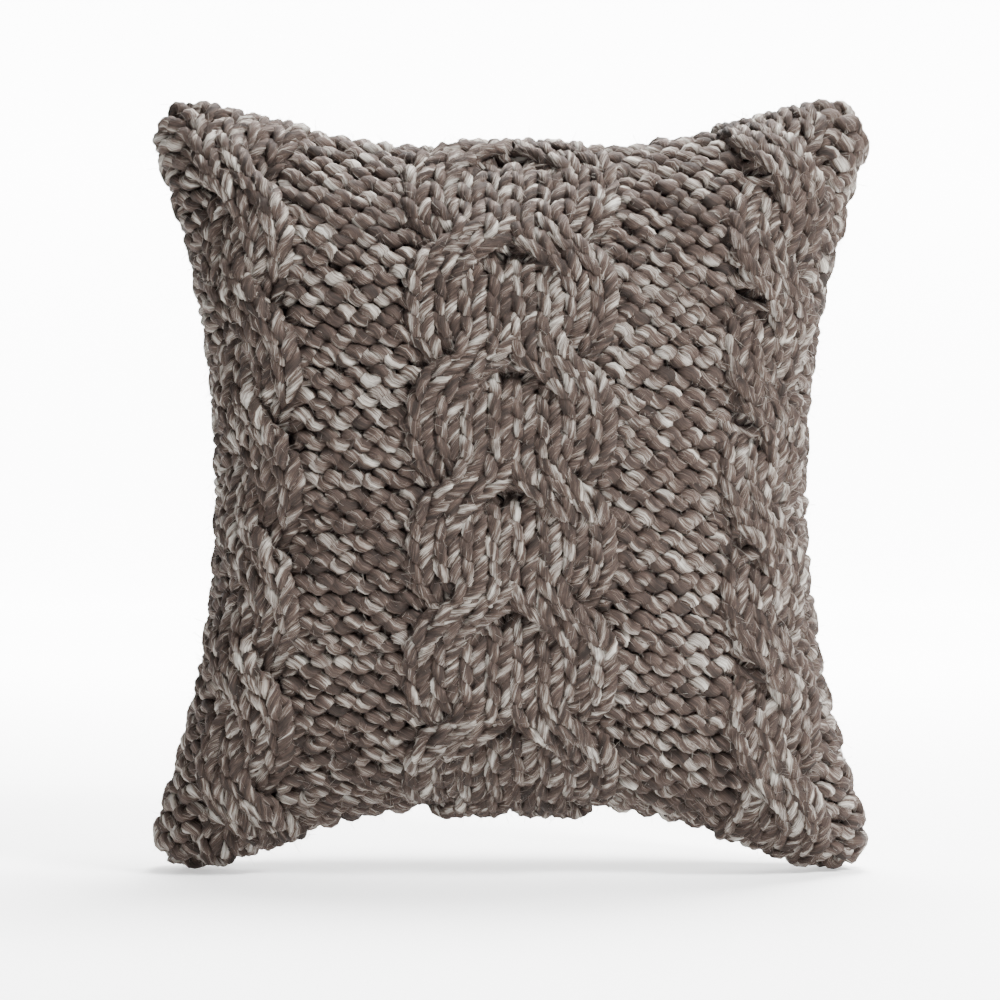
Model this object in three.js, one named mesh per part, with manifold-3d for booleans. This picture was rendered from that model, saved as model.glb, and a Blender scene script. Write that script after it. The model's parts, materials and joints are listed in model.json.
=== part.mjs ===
// A throw pillow, 457 mm wide and 491 mm tall across its ears.
// A knitted cover of two panels is sewn together with yarn and closed by a zip in its bottom seam.
// It has a woven lining and holds a filled insert. The pillow stands upright: its front faces -Y,
// its bottom ears rest on z = 0, and the zip follows the curve of the bottom edge.
// Lengths are in millimetres.

import * as THREE from 'three';
import { mergeVertices } from 'three/addons/utils/BufferGeometryUtils.js';
import Module from 'manifold-3d';

const wasm = await Module();
wasm.setup();

// Overall form
const WIDTH = 457; // across the ears
const HEIGHT = 491; // from the bottom ears' flats to the top ears
const THICKNESS = 190; // at the crown
const EAR_RADIUS = 25.5; // round end of each corner
const EAR_FLAT_DEPTH = 1.5; // how far the bottom ears are pressed flat
const SIDE_PULL = 40; // how far the middle of a side lies inside its ears
const TOP_PULL = 32.5;
const BOTTOM_PULL = 44.5;
const RIM_HALF = 12; // half thickness at the seam, one layer of knit
const CROWN_FLAT = 0.2; // share of the way from the crown to the edge that is pressed flat

// Layers, from the outside in
const CLEARANCE = 0.3; // between pieces that touch
const KNIT = 12;
const LINING = 1;
const CASING = 1;

// Seam yarn and care label, both inside the thickness of the knit
const LINING_SPARE = 4; // kept free towards the lining, which comes nearest beside the ears
const YARN_RADIUS = 3;
const SEAM_INSET = KNIT / 2 - LINING; // from the outline to the yarn's axis, nearer to it than to the lining
const SEAM_SPAN = 0.88; // share of an edge that the yarn runs along, between the ears
const LABEL_LENGTH = 36;
const LABEL_THICKNESS = 1;
const LABEL_INSET = 1;
const LABEL_DEPTH = KNIT - LABEL_INSET - LINING_SPARE;
const LABEL_PLACE = -0.72; // where the label's upper end lies on the right edge, of half of it

// Zip, with lengths along the curve of the bottom edge
const TAPE_LENGTH = 300;
const TAPE_THICKNESS = 0.8;
const TAPE_WIDTH = 11.6;
const COIL_SETBACK = 12; // from the tape's end to the coil's end
const COIL_NEAR = 0.9; // the coil's two edges, from the seam plane
const COIL_FAR = 3.1;
const COIL_HEIGHT = 2.4;
const STOP_LENGTH = 3;
const STOP_LIP = 0.2; // how far a stop stands proud of the coil

// Slider and pull tab
const SLIDER_LENGTH = 14;
const SLIDER_WALL = 1;
const SLIDER_SPARE = 0.7; // beside the coil inside the slider, and beside the slider in its slot
const POST_HALF = 0.5;
const PARK_GAP = 1; // between the closed slider and its stops
const BRIDGE_WIDTH = 2.6;
const BRIDGE_WALL = 0.8;
const BRIDGE_LEG = 1.3;
const TAB_LENGTH = 21;
const TAB_WIDTH = 7.2;
const TAB_THICKNESS = 1.2;
const TAB_BAR = 1.4;
const TAB_SPARE_LENGTH = 1.5; // each side of the bar in the bridge's eye
const TAB_SPARE_HEIGHT = 0.5; // above and below the bar in the eye
const TAB_SPARE_WIDTH = 0.6; // each side of the bridge in the tab's window

// Facets
const EDGE_STEPS = 8;
const EAR_STEPS = 4;
const RINGS = [CROWN_FLAT, 0.42, 0.62, 0.8, 0.92, 1];
const ARC_STEPS = 24;
const YARN_SIDES = 8;
const YARN_STEPS = 10;

// ---- outline -------------------------------------------------------------------------------

const MIDDLE_Z = HEIGHT / 2;
const EAR_X = WIDTH / 2 - EAR_RADIUS;
const EAR_TOP_Z = HEIGHT - EAR_RADIUS;
const EAR_BOTTOM_Z = EAR_RADIUS - EAR_FLAT_DEPTH;
const EAR_MIDDLE_Z = (EAR_TOP_Z + EAR_BOTTOM_Z) / 2;

// Radius of the pulled-in edge that runs smoothly into the round ears at its two ends.
function edgeRadius(halfSpan, pull) {
  const depth = EAR_RADIUS - pull;
  return (halfSpan ** 2 + depth ** 2 - EAR_RADIUS ** 2) / (2 * pull);
}

// An edge is an arc whose centre lies outside the pillow, at angle `facing` from its middle.
function edge(facing, halfSpan, pull, earLine) {
  const radius = edgeRadius(halfSpan, pull);
  const reach = earLine + EAR_RADIUS - pull + radius;
  const centre = new THREE.Vector2(Math.cos(facing), Math.sin(facing)).multiplyScalar(reach);
  centre.y += EAR_MIDDLE_Z;
  const halfAngle = Math.asin(halfSpan / (radius + EAR_RADIUS));
  return { facing, radius, centre, halfAngle };
}

const EAR_HALF_HEIGHT = (EAR_TOP_Z - EAR_BOTTOM_Z) / 2;
const RIGHT = edge(0, EAR_HALF_HEIGHT, SIDE_PULL, EAR_X);
const TOP = edge(Math.PI / 2, EAR_X, TOP_PULL, EAR_HALF_HEIGHT);
const LEFT = edge(Math.PI, EAR_HALF_HEIGHT, SIDE_PULL, EAR_X);
const BOTTOM = edge(-Math.PI / 2, EAR_X, BOTTOM_PULL, EAR_HALF_HEIGHT);

// Point of an edge at `turn` from its middle, anticlockwise round the pillow, `inset` inside it.
function onEdge(side, turn, inset = 0) {
  const angle = side.facing + Math.PI - turn;
  const reach = side.radius + inset;
  const x = side.centre.x + reach * Math.cos(angle);
  return new THREE.Vector2(x, side.centre.y + reach * Math.sin(angle));
}

function earArc(x, z, from, to, steps) {
  const points = [];
  for (let i = 0; i <= steps; i += 1) {
    const angle = from + ((to - from) * i) / steps;
    const up = z + EAR_RADIUS * Math.sin(angle);
    points.push(new THREE.Vector2(x + EAR_RADIUS * Math.cos(angle), up));
  }
  return points;
}

// The round end of a corner, without the two points that it shares with its edges.
function earPoints(x, z, before, after) {
  const start = Math.atan2(before.centre.y - z, before.centre.x - x);
  const end = Math.atan2(after.centre.y - z, after.centre.x - x);
  const sweep = (end - start + 4 * Math.PI) % (2 * Math.PI);
  if (z > MIDDLE_Z) return earArc(x, z, start, start + sweep, EAR_STEPS).slice(1, -1);
  const flatHalf = Math.acos(EAR_BOTTOM_Z / EAR_RADIUS);
  const down = start + ((1.5 * Math.PI - start) % (2 * Math.PI));
  const first = earArc(x, z, start, down - flatHalf, EAR_STEPS / 2);
  const second = earArc(x, z, down + flatHalf, start + sweep, EAR_STEPS / 2);
  return [...first.slice(1), ...second.slice(0, -1)];
}

function edgePoints(side) {
  const points = [];
  for (let i = 0; i <= EDGE_STEPS; i += 1) {
    points.push(onEdge(side, side.halfAngle * ((2 * i) / EDGE_STEPS - 1)));
  }
  return points;
}

// The whole outline in the XZ plane, anticlockwise seen from the front.
function outlinePoints() {
  return [
    ...edgePoints(RIGHT),
    ...earPoints(EAR_X, EAR_TOP_Z, RIGHT, TOP),
    ...edgePoints(TOP),
    ...earPoints(-EAR_X, EAR_TOP_Z, TOP, LEFT),
    ...edgePoints(LEFT),
    ...earPoints(-EAR_X, EAR_BOTTOM_Z, LEFT, BOTTOM),
    ...edgePoints(BOTTOM),
    ...earPoints(EAR_X, EAR_BOTTOM_Z, BOTTOM, RIGHT),
  ];
}

const OUTLINE = outlinePoints();

// ---- padded layers -------------------------------------------------------------------------

const HALF_WAIST = WIDTH / 2 - SIDE_PULL;
const HALF_DROP = MIDDLE_Z - BOTTOM_PULL + EAR_FLAT_DEPTH;

// Half thickness on the ray through an outline point, `share` of the way out to it.
function crownHeight(point, share) {
  const across = Math.abs(point.x) / (WIDTH / 2);
  const up = Math.abs(point.y - MIDDLE_Z) / (HEIGHT / 2);
  const corner = ((2 * across * up) / (across ** 2 + up ** 2)) ** 2;
  const out = Math.max(0, (share - CROWN_FLAT) / (1 - CROWN_FLAT));
  const fullness = Math.sqrt((1 - out ** 2) * (1 - (corner * out) ** 2));
  return RIM_HALF + (THICKNESS / 2 - RIM_HALF) * fullness;
}

// A layer's surface is the outer form drawn in by `depth` on every side.
function layerPoint(point, share, depth, side, height) {
  const x = point.x * share * (1 - depth / HALF_WAIST);
  const z = MIDDLE_Z + (point.y - MIDDLE_Z) * share * (1 - depth / HALF_DROP);
  return [x, side * height, z];
}

function layerRing(share, depth, side) {
  const shrink = 1 - (2 * depth) / THICKNESS;
  return OUTLINE.map((p) => layerPoint(p, share, depth, side, crownHeight(p, share) * shrink));
}

function seamRing(depth, side) {
  return OUTLINE.map((p) => layerPoint(p, 1, depth, side, CLEARANCE / 2));
}

function crownPoint(depth, side) {
  return [0, side * (THICKNESS / 2 - depth), MIDDLE_Z];
}

// Closed skin from one pole out through half of its rings, and back through the rest to the other
// pole. Both halves split their quads along the same diagonals, so nested skins stay parallel.
function closedSkin(firstPole, rings, lastPole, side) {
  const count = OUTLINE.length;
  const corners = [firstPole, ...rings.flat(), lastPole].flat();
  const faces = [];
  const triangle = (a, b, c) => faces.push(...(side < 0 ? [a, b, c] : [a, c, b]));
  const at = (ring, i) => 1 + ring * count + (i % count);
  const quad = (ring, i) => {
    const [a, b] = [at(ring - 1, i), at(ring, i)];
    const [c, d] = [at(ring, i + 1), at(ring - 1, i + 1)];
    const outward = ring < rings.length / 2;
    triangle(a, b, outward ? c : d);
    triangle(outward ? a : b, c, d);
  };
  for (let i = 0; i < count; i += 1) {
    triangle(0, at(0, i), at(0, i + 1));
    for (let ring = 1; ring < rings.length; ring += 1) {
      quad(ring, i);
    }
    triangle(1 + rings.length * count, at(rings.length - 1, i + 1), at(rings.length - 1, i));
  }
  const geometry = new THREE.BufferGeometry();
  geometry.setAttribute('position', new THREE.Float32BufferAttribute(corners, 3));
  geometry.setIndex(faces);
  return geometry;
}

// One half of a casing: from `outer` to `inner` deep, open at the seam plane.
function halfCasing(outer, inner, side) {
  const rings = [
    ...RINGS.map((share) => layerRing(share, outer, side)),
    seamRing(outer, side),
    seamRing(inner, side),
    ...RINGS.map((share) => layerRing(share, inner, side)).reverse(),
  ];
  return closedSkin(crownPoint(outer, side), rings, crownPoint(inner, side), side);
}

function filling(depth) {
  const rings = [
    ...RINGS.map((share) => layerRing(share, depth, -1)),
    ...RINGS.map((share) => layerRing(share, depth, 1)).reverse(),
  ];
  return closedSkin(crownPoint(depth, -1), rings, crownPoint(depth, 1), -1);
}

// ---- joining and cutting -------------------------------------------------------------------

function toSolid(geometry) {
  const bare = geometry.clone();
  bare.deleteAttribute('normal');
  bare.deleteAttribute('uv');
  const merged = mergeVertices(bare);
  const vertProperties = Float32Array.from(merged.attributes.position.array);
  const triVerts = Uint32Array.from(merged.index.array);
  return new wasm.Manifold(new wasm.Mesh({ numProp: 3, vertProperties, triVerts }));
}

function toGeometry(solid) {
  const mesh = solid.getMesh();
  const geometry = new THREE.BufferGeometry();
  geometry.setAttribute('position', new THREE.Float32BufferAttribute(mesh.vertProperties, 3));
  geometry.setIndex(Array.from(mesh.triVerts));
  return geometry;
}

function cut(geometry, tools) {
  const solid = tools.reduce((rest, tool) => rest.subtract(toSolid(tool)), toSolid(geometry));
  return toGeometry(solid);
}

// ---- bands that follow an edge -------------------------------------------------------------

// A band along an edge, between two insets and two distances from the seam plane.
function edgeBand(side, fromTurn, toTurn, insets, depths) {
  const shape = new THREE.Shape();
  const [near, far] = insets;
  const steps = Math.max(1, Math.ceil((ARC_STEPS * Math.abs(toTurn - fromTurn)) / side.halfAngle / 2));
  const points = [];
  for (let i = 0; i <= steps; i += 1) {
    points.push(onEdge(side, fromTurn + ((toTurn - fromTurn) * i) / steps, near));
  }
  for (let i = steps; i >= 0; i -= 1) {
    points.push(onEdge(side, fromTurn + ((toTurn - fromTurn) * i) / steps, far));
  }
  shape.setFromPoints(points);
  const depth = depths[1] - depths[0];
  const geometry = new THREE.ExtrudeGeometry(shape, { depth, bevelEnabled: false });
  geometry.rotateX(Math.PI / 2);
  geometry.translate(0, depths[1], 0);
  return geometry;
}

function yarnRun(side, fromTurn, toTurn, radius) {
  const points = [];
  for (let i = 0; i <= YARN_STEPS; i += 1) {
    const p = onEdge(side, fromTurn + ((toTurn - fromTurn) * i) / YARN_STEPS, SEAM_INSET);
    points.push(new THREE.Vector3(p.x, 0, p.y));
  }
  const section = new THREE.Shape();
  section.absarc(0, 0, radius, 0, 2 * Math.PI);
  return new THREE.ExtrudeGeometry(section, {
    extrudePath: new THREE.CatmullRomCurve3(points),
    steps: YARN_STEPS,
    curveSegments: YARN_SIDES,
  });
}

// ---- seam ----------------------------------------------------------------------------------

const PLATE_INNER = COIL_HEIGHT / 2 + CLEARANCE; // slider's plates, from the middle of the tape
const PLATE_OUTER = PLATE_INNER + SLIDER_WALL;
const SLIDER_HALF_WIDTH = COIL_FAR + SLIDER_SPARE + SLIDER_WALL;
const SLOT_HALF = SLIDER_HALF_WIDTH + SLIDER_SPARE;
const ZIP_INSET = KNIT - PLATE_OUTER - 2.5; // the tape, with the slider clear of the lining
const TAPE_EDGE = COIL_FAR + CLEARANCE + TAPE_WIDTH;
const ZIP_RADIUS = BOTTOM.radius + ZIP_INSET;
const alongZip = (length) => length / ZIP_RADIUS;
const TAPE_END = alongZip(TAPE_LENGTH / 2);
const SLOT_END = alongZip(TAPE_LENGTH / 2 + 2); // the slot runs a little past the tape
const LABEL_TOP = RIGHT.halfAngle * LABEL_PLACE;
const LABEL_BOTTOM = LABEL_TOP - LABEL_LENGTH / RIGHT.radius;
const YARN_GAP = (2 * YARN_RADIUS) / RIGHT.radius;

const seamEnd = (side) => side.halfAngle * SEAM_SPAN;

const SEAM_RUNS = [
  ['seam_yarn_left', LEFT, -seamEnd(LEFT), seamEnd(LEFT)],
  ['seam_yarn_right', RIGHT, LABEL_TOP + YARN_GAP, seamEnd(RIGHT)],
  ['seam_yarn_top', TOP, -seamEnd(TOP), seamEnd(TOP)],
  ['seam_yarn_bottom_left', BOTTOM, -seamEnd(BOTTOM), -SLOT_END - YARN_GAP],
  ['seam_yarn_bottom_right', BOTTOM, SLOT_END + YARN_GAP, seamEnd(BOTTOM)],
];

function labelBand(spare) {
  const turn = spare / RIGHT.radius;
  const insets = [LABEL_INSET - spare, LABEL_INSET + LABEL_DEPTH + spare];
  const half = LABEL_THICKNESS / 2 + spare;
  return edgeBand(RIGHT, LABEL_BOTTOM - turn, LABEL_TOP + turn, insets, [-half, half]);
}

function knitPanel(side) {
  const halfTape = TAPE_THICKNESS / 2 + CLEARANCE;
  const tools = [
    edgeBand(BOTTOM, -SLOT_END, SLOT_END, [-KNIT, KNIT + LINING], [-SLOT_HALF, SLOT_HALF]),
    edgeBand(
      BOTTOM,
      -TAPE_END - alongZip(CLEARANCE),
      TAPE_END + alongZip(CLEARANCE),
      [ZIP_INSET - halfTape, ZIP_INSET + halfTape],
      [-TAPE_EDGE - CLEARANCE, TAPE_EDGE + CLEARANCE],
    ),
    labelBand(CLEARANCE),
    ...SEAM_RUNS.map(([, edgeOf, from, to]) => {
      const spare = CLEARANCE / edgeOf.radius;
      return yarnRun(edgeOf, from - spare, to + spare, YARN_RADIUS + CLEARANCE);
    }),
  ];
  return cut(halfCasing(0, KNIT, side), tools);
}

// ---- zip -----------------------------------------------------------------------------------

const COIL_END = alongZip(TAPE_LENGTH / 2 - COIL_SETBACK);
const STOP_HEIGHT = COIL_HEIGHT + 2 * STOP_LIP;
const STOP_START = COIL_END + alongZip(CLEARANCE);
const STOP_END = STOP_START + alongZip(STOP_LENGTH);
const SLIDER_TURN = STOP_START - alongZip(SLIDER_LENGTH / 2 + PARK_GAP);

const bandInsets = (height) => [ZIP_INSET - height / 2, ZIP_INSET + height / 2];
const bothWays = (near, far, side) => (side < 0 ? [-far, -near] : [near, far]);

function zipTape(side) {
  const depths = bothWays(COIL_FAR + CLEARANCE, TAPE_EDGE, side);
  return edgeBand(BOTTOM, -TAPE_END, TAPE_END, bandInsets(TAPE_THICKNESS), depths);
}

function zipCoil(side) {
  const depths = bothWays(COIL_NEAR, COIL_FAR, side);
  return edgeBand(BOTTOM, -COIL_END, COIL_END, bandInsets(COIL_HEIGHT), depths);
}

function topStop(side) {
  const depths = bothWays(POST_HALF, COIL_FAR, side);
  return edgeBand(BOTTOM, STOP_START, STOP_END, bandInsets(STOP_HEIGHT), depths);
}

function bottomStop() {
  return edgeBand(BOTTOM, -STOP_END, -STOP_START, bandInsets(STOP_HEIGHT), [-COIL_FAR, COIL_FAR]);
}

// Slider, in its own frame: X along the zip, Z towards the pillow's middle, origin on the tape.
const LIP_END = TAPE_THICKNESS / 2 + CLEARANCE;
const LIP_INNER = SLIDER_HALF_WIDTH - SLIDER_WALL;
const EYE_LENGTH = TAB_BAR + 2 * TAB_SPARE_LENGTH;
const EYE_HEIGHT = TAB_THICKNESS + 2 * TAB_SPARE_HEIGHT;
const EYE_MIDDLE = -PLATE_OUTER - EYE_HEIGHT / 2 - CLEARANCE;
const BRIDGE_HALF = EYE_LENGTH / 2 + BRIDGE_LEG;
const BRIDGE_REACH = Math.hypot(BRIDGE_HALF, EYE_HEIGHT / 2 + BRIDGE_WALL);

function sliderChannels() {
  const quarter = [
    [POST_HALF, PLATE_INNER],
    [LIP_INNER, PLATE_INNER],
    [LIP_INNER, LIP_END],
    [SLIDER_HALF_WIDTH, LIP_END],
    [SLIDER_HALF_WIDTH, PLATE_OUTER],
  ];
  const turned = [...quarter].reverse();
  const section = [
    ...quarter,
    ...turned.map(([y, z]) => [-y, z]),
    ...quarter.map(([y, z]) => [-y, -z]),
    ...turned.map(([y, z]) => [y, -z]),
  ];
  const shape = new THREE.Shape(section.map(([y, z]) => new THREE.Vector2(y, z)));
  const geometry = new THREE.ExtrudeGeometry(shape, { depth: SLIDER_LENGTH, bevelEnabled: false });
  geometry.rotateX(Math.PI / 2);
  geometry.rotateZ(Math.PI / 2);
  geometry.translate(-SLIDER_LENGTH / 2, 0, 0);
  return geometry;
}

function rectangle(path, halfLength, low, high) {
  path.moveTo(-halfLength, low);
  path.lineTo(halfLength, low);
  path.lineTo(halfLength, high);
  path.lineTo(-halfLength, high);
  path.closePath();
  return path;
}

function sliderBridge() {
  const eyeLow = EYE_MIDDLE - EYE_HEIGHT / 2;
  const eyeHigh = EYE_MIDDLE + EYE_HEIGHT / 2;
  const low = eyeLow - BRIDGE_WALL;
  const high = -PLATE_OUTER + SLIDER_WALL / 2;
  const shape = rectangle(new THREE.Shape(), BRIDGE_HALF, low, high);
  shape.holes.push(rectangle(new THREE.Path(), EYE_LENGTH / 2, eyeLow, eyeHigh));
  const geometry = new THREE.ExtrudeGeometry(shape, { depth: BRIDGE_WIDTH, bevelEnabled: false });
  geometry.rotateX(Math.PI / 2);
  geometry.translate(0, BRIDGE_WIDTH / 2, 0);
  return geometry;
}

function zipSlider() {
  return toGeometry(toSolid(sliderChannels()).add(toSolid(sliderBridge())));
}

// Pull tab, in the slider's frame: its bar lies in the bridge's eye and its blade points to -X.
function pullTab() {
  const shape = new THREE.Shape();
  const end = TAB_BAR / 2;
  const round = TAB_WIDTH / 2;
  shape.moveTo(end, -round);
  shape.lineTo(end, round);
  shape.lineTo(end - TAB_LENGTH + round, round);
  shape.absarc(end - TAB_LENGTH + round, 0, round, Math.PI / 2, (3 * Math.PI) / 2, false);
  shape.closePath();
  const hole = new THREE.Path();
  const far = -BRIDGE_REACH - TAB_SPARE_LENGTH;
  const half = BRIDGE_WIDTH / 2 + TAB_SPARE_WIDTH;
  hole.setFromPoints([
    new THREE.Vector2(-end, -half),
    new THREE.Vector2(far, -half),
    new THREE.Vector2(far, half),
    new THREE.Vector2(-end, half),
  ]);
  hole.closePath();
  shape.holes.push(hole);
  const geometry = new THREE.ExtrudeGeometry(shape, {
    depth: TAB_THICKNESS,
    bevelEnabled: false,
    curveSegments: 8,
  });
  geometry.translate(0, 0, EYE_MIDDLE - TAB_THICKNESS / 2);
  return geometry;
}

// ---- colours and assembly ------------------------------------------------------------------

const COLOURS = {
  yarn: { color: 0x6b5d57, roughness: 0.95, metalness: 0 },
  lining: { color: 0x2e2724, roughness: 0.9, metalness: 0 },
  ticking: { color: 0xe9e6df, roughness: 0.9, metalness: 0 },
  fill: { color: 0xf6f5f2, roughness: 1, metalness: 0 },
  tape: { color: 0x4f443f, roughness: 0.85, metalness: 0 },
  coil: { color: 0x463c38, roughness: 0.45, metalness: 0 },
  metal: { color: 0x8d8883, roughness: 0.35, metalness: 1 },
  label: { color: 0xefece6, roughness: 0.8, metalness: 0 },
};

function piece(name, geometry, colour) {
  const mesh = new THREE.Mesh(geometry, new THREE.MeshStandardMaterial(COLOURS[colour]));
  mesh.name = name;
  return mesh;
}

function cover() {
  const group = new THREE.Group();
  group.add(piece('knit_front_panel', knitPanel(-1), 'yarn'));
  group.add(piece('knit_back_panel', knitPanel(1), 'yarn'));
  for (const [name, side, from, to] of SEAM_RUNS) {
    group.add(piece(name, yarnRun(side, from, to, YARN_RADIUS), 'yarn'));
  }
  const outer = KNIT + CLEARANCE;
  group.add(piece('lining_front', halfCasing(outer, outer + LINING, -1), 'lining'));
  group.add(piece('lining_back', halfCasing(outer, outer + LINING, 1), 'lining'));
  group.add(piece('care_label', labelBand(0), 'label'));
  return group;
}

function insert() {
  const group = new THREE.Group();
  const outer = KNIT + LINING + 2 * CLEARANCE;
  const inner = outer + CASING;
  group.add(piece('insert_casing_front', halfCasing(outer, inner, -1), 'ticking'));
  group.add(piece('insert_casing_back', halfCasing(outer, inner, 1), 'ticking'));
  group.add(piece('fibre_fill', filling(inner + CLEARANCE), 'fill'));
  return group;
}

function zip() {
  const group = new THREE.Group();
  group.add(piece('zip_tape_front', zipTape(-1), 'tape'));
  group.add(piece('zip_tape_back', zipTape(1), 'tape'));
  group.add(piece('zip_coil_front', zipCoil(-1), 'coil'));
  group.add(piece('zip_coil_back', zipCoil(1), 'coil'));
  group.add(piece('zip_top_stop_front', topStop(-1), 'metal'));
  group.add(piece('zip_top_stop_back', topStop(1), 'metal'));
  group.add(piece('zip_bottom_stop', bottomStop(), 'metal'));
  return group;
}

function runner() {
  const swing = new THREE.Group();
  swing.position.set(BOTTOM.centre.x, 0, BOTTOM.centre.y);
  swing.rotation.y = SLIDER_TURN;
  for (const [name, geometry] of [['zip_slider', zipSlider()], ['zip_pull_tab', pullTab()]]) {
    const mesh = piece(name, geometry, 'metal');
    mesh.position.z = ZIP_RADIUS;
    swing.add(mesh);
  }
  return swing;
}

const pillow = new THREE.Group();
pillow.add(cover(), insert(), zip(), runner());

export default pillow;
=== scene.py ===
"""The looks of a cable-knit throw pillow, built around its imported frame.

The cover is knitted stitch by stitch: each row of yarn is a path over the stuffed form, and a
Geometry Nodes tree spins the path into yarn. Lining, casing and filling lie inside it, and a zip
closes the bottom seam. Lengths are in metres and knitting is counted in stitches and rows.
"""

import json
import math

import bpy
import numpy as np
from bpy.props import FloatProperty, FloatVectorProperty, IntProperty, PointerProperty
from bpy.types import Operator, Panel, PropertyGroup
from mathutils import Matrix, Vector

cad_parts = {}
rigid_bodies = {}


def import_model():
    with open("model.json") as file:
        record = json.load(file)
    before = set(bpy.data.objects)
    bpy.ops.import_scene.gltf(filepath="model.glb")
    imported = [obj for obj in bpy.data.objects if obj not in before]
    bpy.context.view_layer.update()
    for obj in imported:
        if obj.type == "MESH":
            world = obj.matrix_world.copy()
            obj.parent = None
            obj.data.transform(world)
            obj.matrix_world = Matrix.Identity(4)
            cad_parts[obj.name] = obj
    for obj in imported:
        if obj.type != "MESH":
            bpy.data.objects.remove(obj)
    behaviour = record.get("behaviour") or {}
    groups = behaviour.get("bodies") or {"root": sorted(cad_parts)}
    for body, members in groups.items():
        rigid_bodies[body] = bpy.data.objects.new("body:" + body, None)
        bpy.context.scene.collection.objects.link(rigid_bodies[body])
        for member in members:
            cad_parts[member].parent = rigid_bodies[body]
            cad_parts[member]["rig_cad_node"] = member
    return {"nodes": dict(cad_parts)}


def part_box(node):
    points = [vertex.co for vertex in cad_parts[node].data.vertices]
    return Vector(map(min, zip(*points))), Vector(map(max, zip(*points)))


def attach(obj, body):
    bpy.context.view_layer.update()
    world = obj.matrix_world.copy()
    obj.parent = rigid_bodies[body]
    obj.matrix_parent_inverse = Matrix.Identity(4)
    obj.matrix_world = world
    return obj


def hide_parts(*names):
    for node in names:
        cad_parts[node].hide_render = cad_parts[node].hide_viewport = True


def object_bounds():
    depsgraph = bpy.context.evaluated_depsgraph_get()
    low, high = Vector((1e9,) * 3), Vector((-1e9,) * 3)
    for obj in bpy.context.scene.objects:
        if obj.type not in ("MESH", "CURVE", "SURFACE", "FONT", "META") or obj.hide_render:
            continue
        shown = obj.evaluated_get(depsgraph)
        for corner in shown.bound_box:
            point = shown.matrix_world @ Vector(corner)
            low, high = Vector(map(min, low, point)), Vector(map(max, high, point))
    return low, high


bl_info = {
    "name": "Cable-knit throw pillow",
    "version": (1, 0, 0),
    "blender": (4, 5, 0),
    "location": "View3D > Sidebar > Pillow",
    "description": "Knits, fills and zips a throw pillow around its frame",
    "category": "Object",
}

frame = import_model()
CAD_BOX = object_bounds()

HALF_WIDTH = CAD_BOX[1].x
HALF_THICKNESS = CAD_BOX[1].y
HEIGHT = CAD_BOX[1].z
FRONT, BACK = -1, 1
HALVES = {"front": FRONT, "back": BACK}

# The pillow's outline: round ears at the corners and edges drawn in between them.
EAR = 0.0255
EAR_FLAT = 0.0015
SIDE_PULL = 0.040
TOP_PULL = 0.0325
BOTTOM_PULL = 0.0445
CROWN_FLAT = 0.2
EAR_LOW = EAR - EAR_FLAT
EAR_HIGH = HEIGHT - EAR
EAR_REACH = HALF_WIDTH - EAR

# The cover's front, from left to right: what each band of stitches is, and how many it has.
PURL, KNIT = -1, 1
BANDS = [
    ("margin", PURL, 2),
    ("left rope", KNIT, 4),
    ("left panel", PURL, 5),
    ("left arm of the horseshoe", KNIT, 4),
    ("right arm of the horseshoe", KNIT, 4),
    ("right panel", PURL, 5),
    ("right rope", KNIT, 4),
    ("margin", PURL, 2),
]
CABLE_STITCHES = 4
CROSSING_EVERY = 6
LEAN_RIGHT, LEAN_LEFT = 1, -1
# First crossing, in rows from the bottom, which way the strand in front leans going up, the
# rows that a crossing takes on each side of its middle, and its share of the full rise.
CABLES = {
    "left rope": (3.5, LEAN_LEFT, 2.9, 1.4),
    "left arm of the horseshoe": (0.5, LEAN_RIGHT, 2.3, 1.0),
    "right arm of the horseshoe": (0.5, LEAN_LEFT, 2.3, 1.0),
    "right rope": (4.5, LEAN_LEFT, 2.9, 1.4),
}
ROWS = 38

# The zip, which follows the bottom edge between the panels.
ZIP_SPAN = 0.300
ZIP_SLOT_HALF = 0.0060
ZIP_DEPTH = 0.013
TAPE_ROOM = 0.0028
TAPE_DEPTH = 0.0235
# Lengths over which the room for the zip fades past its ends and above it.
END_FADE = 0.012
DEPTH_FADE = 0.010


# Where each layer lies: its depth inside the outline, half its thickness at the rim, and how
# much deeper it lies at the crown.
KNIT_PLACE = (0.0060, 0.0047, 0.0046)
LINING_PLACE = (0.0145, 0.0009, 0.0066)
CASING_PLACE = (0.0158, 0.0009, 0.0066)
FILLING_PLACE = (0.0168, 0.0012, 0.0066)
LINING_THICK = 0.0008
CASING_THICK = 0.0006
SKIN_COUNT = 129
CLOTH_COUNT = 97

# The filling's push on the cover, as the cloth simulation's settings.
STUFFING_STEPS = 20
STUFFING_COUNT = 49
STUFFING_START = 0.985
STUFFING_SMOOTHINGS = 4
STUFFING = {
    "vertex_group_mass": "rim",
    "use_pressure": True,
    "uniform_pressure_force": 4.0,
    "quality": 6,
    "mass": 0.35,
    "tension_stiffness": 12.0,
    "compression_stiffness": 12.0,
    "bending_stiffness": 1.5,
}

# The filling's lumps: how many on each half, their height, the square of their width as a share
# of the pillow's, and the filling's distance from its casing.
LUMPS = 90
LUMP_HEIGHT = 0.0006
LUMP_SPREAD = 0.004
FILLING_GAP = 0.0012

# The yarn: its lobes' height, the gap in its run between two paths, and its thick and thin
# places, as their length, a step in the seed and their share of the girth.
LOBE = 0.06
RUN_GAP = 0.01
UNEVEN = ((0.021, 0, 0.045), (0.0075, 3, 0.03))

# The knitting: points to a stitch, the share of the width left free at each side, and the part
# of a row left free at the bottom and the top.
FRONT_SAMPLES = 22
BACK_SAMPLES = 14
SIDE_ROOM = 0.003
ROW_ROOM = 0.30
# How wide the change from one stitch to the next is on each side, in stitches.
BLUR = 0.22
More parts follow.
